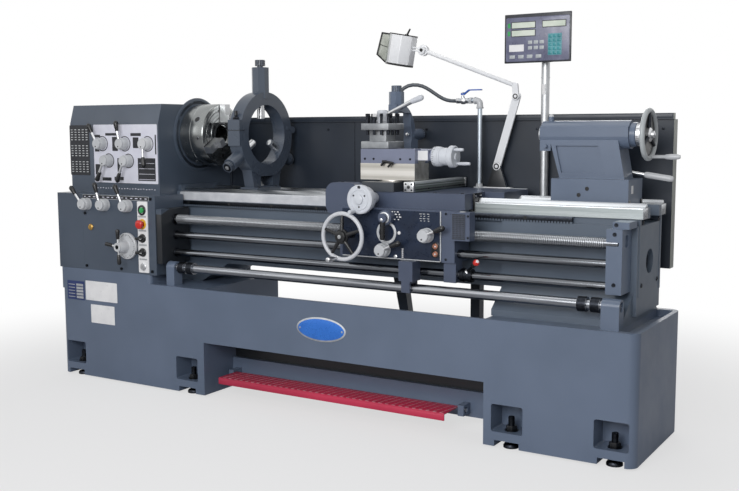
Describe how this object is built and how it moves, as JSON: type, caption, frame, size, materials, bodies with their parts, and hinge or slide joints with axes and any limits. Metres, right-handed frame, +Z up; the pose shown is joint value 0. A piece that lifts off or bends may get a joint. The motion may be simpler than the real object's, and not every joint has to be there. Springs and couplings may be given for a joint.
{
  "type": "engine lathe",
  "caption": "Floor-standing engine lathe: cabinet base, bed with ways, geared headstock and chuck, carriage with compound and toolpost, rests, tailstock and readout.",
  "frame": {"origin": "centre of the overall box in plan, on the floor under the levelling feet", "axes": "+X along the bed from headstock to tailstock, +Y away from the operator, +Z up"},
  "size_m": [2.876, 0.748, 1.653],
  "materials": {
    "blue_grey_paint": "satin",
    "cast_iron_paint": "satin paint",
    "dark_sheet": "satin",
    "ground_steel": "ground",
    "machined_steel": "turned",
    "dark_steel": "blackened",
    "light_grey_paint": "satin",
    "red_paint": "gloss",
    "white_paint": "white powder coat",
    "black_plastic": "satin",
    "red_plastic": "gloss",
    "green_plastic": "gloss",
    "blue_paint": "gloss",
    "aluminium_grey": "satin",
    "grey_hose": "segmented"
  },
  "bodies": {
    "machine": {"base": "cast_iron_paint", "levelling_feet": "dark_steel", "bed": "cast_iron_paint", "headstock": "cast_iron_paint", "gearbox": "cast_iron_paint", "control_panel": "aluminium_grey", "rod_brackets": "cast_iron_paint", "splash_guard": "dark_sheet", "main_motor": "dark_steel", "readout_post": "light_grey_paint"},
    "cover": {"end_gear_cover": "blue_grey_paint"},
    "treadle": {"treadle": "red_paint"},
    "start_button": {"start_button": "green_plastic"},
    "stop_button": {"stop_button": "red_plastic"},
    "spindle": {"spindle": "machined_steel", "chuck_body": "machined_steel"},
    "jaw_1": {"chuck_jaw_1": "machined_steel"},
    "jaw_2": {"chuck_jaw_2": "machined_steel"},
    "jaw_3": {"chuck_jaw_3": "machined_steel"},
    "leadscrew": {"leadscrew": "ground_steel"},
    "feed_rod": {"feed_rod": "ground_steel"},
    "control_rod": {"control_rod": "ground_steel"},
    "stop_rod": {"stop_rod": "ground_steel"},
    "carriage": {"saddle": "cast_iron_paint", "apron": "cast_iron_paint", "follow_rest": "cast_iron_paint", "coolant_pipe": "ground_steel", "coolant_hose": "grey_hose", "readout_scales": "aluminium_grey"},
    "steady": {"steady_base": "cast_iron_paint"},
    "steady_cap": {"steady_top": "cast_iron_paint"},
    "tailstock": {"tailstock_body": "cast_iron_paint"},
    "speed_lever_1": {"speed_lever_1": "light_grey_paint"},
    "speed_lever_2": {"speed_lever_2": "light_grey_paint"},
    "speed_lever_3": {"speed_lever_3": "light_grey_paint"},
    "thread_lever_1": {"thread_lever_1": "light_grey_paint"},
    "thread_lever_2": {"thread_lever_2": "light_grey_paint"},
    "feed_lever_1": {"feed_lever_1": "light_grey_paint"},
    "feed_lever_2": {"feed_lever_2": "light_grey_paint"},
    "feed_lever_3": {"feed_lever_3": "light_grey_paint"},
    "feed_dial": {"feed_dial": "light_grey_paint"},
    "carriage_handwheel": {"carriage_handwheel": "light_grey_paint"},
    "cross_handwheel": {"cross_handwheel": "light_grey_paint"},
    "half_nut_lever": {"half_nut_lever": "light_grey_paint"},
    "feed_engage_lever": {"feed_engage_lever": "light_grey_paint"},
    "control_lever": {"control_lever": "red_plastic"},
    "cross_slide": {"cross_slide": "machined_steel"},
    "compound_base": {"compound_base": "ground_steel"},
    "compound_slide": {"compound_slide": "machined_steel"},
    "compound_handwheel": {"compound_handwheel": "light_grey_paint"},
    "toolpost": {"toolpost": "dark_steel"},
    "toolpost_lever": {"toolpost_lever": "machined_steel"},
    "valve_lever": {"valve_lever": "blue_paint"},
    "lamp_lower_arm": {"lamp_lower_arm": "white_paint"},
    "lamp_upper_arm": {"lamp_upper_arm": "white_paint"},
    "lamp_head": {"lamp_head": "white_paint"},
    "readout_display": {"readout_display": "black_plastic"},
    "quill": {"quill": "ground_steel"},
    "tailstock_handwheel": {"tailstock_handwheel": "light_grey_paint"},
    "tailstock_clamp": {"tailstock_clamp": "light_grey_paint"}
  },
  "joints": [
    {"name": "cover_hinge", "type": "hinge", "parent": "machine", "child": "cover", "pos_m": [-1.268, 0.321, 1], "axis": [0, 0, 1], "range_deg": [-100, 0]},
    {"name": "treadle_hinge", "type": "hinge", "parent": "machine", "child": "treadle", "pos_m": [0.087, -0.116, 0.078], "axis": [1, 0, 0], "range_deg": [0, 12], "stiffness_Nm_per_rad": 30, "springref_deg": -28.65},
    {"name": "start_button_press", "type": "slide", "parent": "machine", "child": "start_button", "axis": [0, 1, 0], "range_m": [0, 0.004], "stiffness_N_per_m": 500, "springref_m": -0.004},
    {"name": "stop_button_press", "type": "slide", "parent": "machine", "child": "stop_button", "axis": [0, 1, 0], "range_m": [0, 0.005], "stiffness_N_per_m": 500, "springref_m": -0.004},
    {"name": "spindle_spin", "type": "hinge", "parent": "machine", "child": "spindle", "pos_m": [-0.813, 0.08, 1.168], "axis": [1, 0, 0], "continuous": true},
    {"name": "jaw_1_slide", "type": "slide", "parent": "spindle", "child": "jaw_1", "axis": [0, 0, 1], "range_m": [-0.025, 0.006]},
    {"name": "jaw_2_slide", "type": "slide", "parent": "spindle", "child": "jaw_2", "axis": [0, -0.866, -0.5], "range_m": [-0.025, 0.006]},
    {"name": "jaw_3_slide", "type": "slide", "parent": "spindle", "child": "jaw_3", "axis": [0, 0.866, -0.5], "range_m": [-0.025, 0.006]},
    {"name": "speed_lever_1_turn", "type": "hinge", "parent": "machine", "child": "speed_lever_1", "pos_m": [-1.206, -0.22, 1.128], "axis": [0, -1, 0], "range_deg": [-25, 25]},
    {"name": "speed_lever_2_turn", "type": "hinge", "parent": "machine", "child": "speed_lever_2", "pos_m": [-1.059, -0.22, 1.128], "axis": [0, -1, 0], "range_deg": [-25, 25]},
    {"name": "speed_lever_3_turn", "type": "hinge", "parent": "machine", "child": "speed_lever_3", "pos_m": [-0.914, -0.22, 1.128], "axis": [0, -1, 0], "range_deg": [-25, 25]},
    {"name": "thread_lever_1_turn", "type": "hinge", "parent": "machine", "child": "thread_lever_1", "pos_m": [-1.166, -0.22, 1.048], "axis": [0, -1, 0], "range_deg": [-25, 25]},
    {"name": "thread_lever_2_turn", "type": "hinge", "parent": "machine", "child": "thread_lever_2", "pos_m": [-1.038, -0.22, 1.048], "axis": [0, -1, 0], "range_deg": [-25, 25]},
    {"name": "feed_lever_1_turn", "type": "hinge", "parent": "machine", "child": "feed_lever_1", "pos_m": [-1.233, -0.3, 0.845], "axis": [0, -1, 0], "range_deg": [-25, 25]},
    {"name": "feed_lever_2_turn", "type": "hinge", "parent": "machine", "child": "feed_lever_2", "pos_m": [-1.114, -0.3, 0.845], "axis": [0, -1, 0], "range_deg": [-25, 25]},
    {"name": "feed_lever_3_turn", "type": "hinge", "parent": "machine", "child": "feed_lever_3", "pos_m": [-0.968, -0.3, 0.845], "axis": [0, -1, 0], "range_deg": [-25, 25]},
    {"name": "feed_dial_turn", "type": "hinge", "parent": "machine", "child": "feed_dial", "pos_m": [-0.975, -0.3, 0.659], "axis": [0, -1, 0], "range_deg": [-60, 60]},
    {"name": "leadscrew_spin", "type": "hinge", "parent": "machine", "child": "leadscrew", "pos_m": [-0.013, -0.18, 0.785], "axis": [1, 0, 0], "continuous": true},
    {"name": "feed_rod_spin", "type": "hinge", "parent": "machine", "child": "feed_rod", "pos_m": [-0.013, -0.18, 0.712], "axis": [1, 0, 0], "continuous": true},
    {"name": "control_rod_turn", "type": "hinge", "parent": "machine", "child": "control_rod", "pos_m": [-0.013, -0.18, 0.631], "axis": [1, 0, 0], "range_deg": [-12, 12]},
    {"name": "stop_rod_slide", "type": "slide", "parent": "machine", "child": "stop_rod", "axis": [1, 0, 0], "range_m": [-0.005, 0.005]},
    {"name": "carriage_slide", "type": "slide", "parent": "machine", "child": "carriage", "axis": [1, 0, 0], "range_m": [-0.33, 0.05]},
    {"name": "carriage_wheel_turn", "type": "hinge", "parent": "carriage", "child": "carriage_handwheel", "pos_m": [0.22, -0.3, 0.767], "axis": [0, 1, 0], "range_deg": [-4740, 715]},
    {"name": "cross_wheel_turn", "type": "hinge", "parent": "carriage", "child": "cross_handwheel", "pos_m": [0.284, -0.27, 0.915], "axis": [0, 1, 0], "range_deg": [-3245, 868]},
    {"name": "half_nut_turn", "type": "hinge", "parent": "carriage", "child": "half_nut_lever", "pos_m": [0.563, -0.24, 0.782], "axis": [0, -1, 0], "range_deg": [-20, 20]},
    {"name": "feed_engage_turn", "type": "hinge", "parent": "carriage", "child": "feed_engage_lever", "pos_m": [0.37, -0.24, 0.715], "axis": [0, -1, 0], "range_deg": [-20, 20]},
    {"name": "control_lever_turn", "type": "hinge", "parent": "carriage", "child": "control_lever", "pos_m": [0.717, -0.18, 0.631], "axis": [1, 0, 0], "range_deg": [-12, 12]},
    {"name": "cross_slide_travel", "type": "slide", "parent": "carriage", "child": "cross_slide", "axis": [0, 1, 0], "range_m": [-0.045, 0.012]},
    {"name": "compound_swivel", "type": "hinge", "parent": "cross_slide", "child": "compound_base", "pos_m": [0.305, -0.03, 0.982], "axis": [0, 0, 1], "range_deg": [-10, 30]},
    {"name": "compound_travel", "type": "slide", "parent": "compound_base", "child": "compound_slide", "axis": [1, 0, 0], "range_m": [-0.06, 0.04]},
    {"name": "compound_wheel_turn", "type": "hinge", "parent": "compound_slide", "child": "compound_handwheel", "pos_m": [0.547, -0.03, 1.081], "axis": [-1, 0, 0], "range_deg": [-2870, 4310]},
    {"name": "toolpost_index", "type": "hinge", "parent": "compound_slide", "child": "toolpost", "pos_m": [0.241, -0.018, 1.16], "axis": [0, 0, 1], "continuous": true},
    {"name": "toolpost_lever_turn", "type": "hinge", "parent": "compound_slide", "child": "toolpost_lever", "pos_m": [0.241, -0.018, 1.24], "axis": [0, 0, 1], "range_deg": [-60, 20]},
    {"name": "valve_turn", "type": "hinge", "parent": "carriage", "child": "valve_lever", "pos_m": [0.468, 0.276, 1.34], "axis": [0, 0, 1], "range_deg": [-90, 0]},
    {"name": "lamp_base_joint", "type": "hinge", "parent": "carriage", "child": "lamp_lower_arm", "pos_m": [0.625, 0.286, 1.033], "axis": [0, 1, 0], "range_deg": [-4, 4]},
    {"name": "lamp_elbow_joint", "type": "hinge", "parent": "lamp_lower_arm", "child": "lamp_upper_arm", "pos_m": [0.712, 0.276, 1.3253], "axis": [0, 1, 0], "range_deg": [-4, 8]},
    {"name": "lamp_head_joint", "type": "hinge", "parent": "lamp_upper_arm", "child": "lamp_head", "pos_m": [0.275, 0.261, 1.532], "axis": [0, 1, 0], "range_deg": [-10, 25]},
    {"name": "display_turn", "type": "hinge", "parent": "machine", "child": "readout_display", "pos_m": [0.834, 0.294, 1.5], "axis": [0, 0, 1], "range_deg": [-30, 30]},
    {"name": "steady_slide", "type": "slide", "parent": "machine", "child": "steady", "axis": [1, 0, 0], "range_m": [-0.06, 0.08]},
    {"name": "steady_hinge", "type": "hinge", "parent": "steady", "child": "steady_cap", "pos_m": [-0.469, 0.28, 1.19], "axis": [-1, 0, 0], "range_deg": [0, 45]},
    {"name": "tailstock_slide", "type": "slide", "parent": "machine", "child": "tailstock", "axis": [1, 0, 0], "range_m": [-0.1, 0.01]},
    {"name": "quill_slide", "type": "slide", "parent": "tailstock", "child": "quill", "axis": [-1, 0, 0], "range_m": [0, 0.1]},
    {"name": "tail_wheel_turn", "type": "hinge", "parent": "tailstock", "child": "tailstock_handwheel", "pos_m": [1.326, 0.08, 1.168], "axis": [-1, 0, 0], "range_deg": [0, 7190]},
    {"name": "tail_clamp_turn", "type": "hinge", "parent": "tailstock", "child": "tailstock_clamp", "pos_m": [1.22, 0.153, 1.027], "axis": [0, -1, 0], "range_deg": [-2, 24]}
  ],
  "couplings": [
    {"joint": "leadscrew_spin", "follows": "spindle_spin", "ratio": 0.5},
    {"joint": "feed_rod_spin", "follows": "spindle_spin", "ratio": 0.25},
    {"joint": "jaw_2_slide", "follows": "jaw_1_slide", "ratio": 1},
    {"joint": "jaw_3_slide", "follows": "jaw_1_slide", "ratio": 1},
    {"joint": "control_rod_turn", "follows": "control_lever_turn", "ratio": 1},
    {"joint": "carriage_slide", "follows": "carriage_wheel_turn", "m_per_rad": 0.0039789},
    {"joint": "cross_wheel_turn", "follows": "cross_slide_travel", "rad_per_m": 1256.6},
    {"joint": "compound_travel", "follows": "compound_wheel_turn", "m_per_rad": -0.00079577},
    {"joint": "quill_slide", "follows": "tail_wheel_turn", "m_per_rad": 0.00079577}
  ]
}
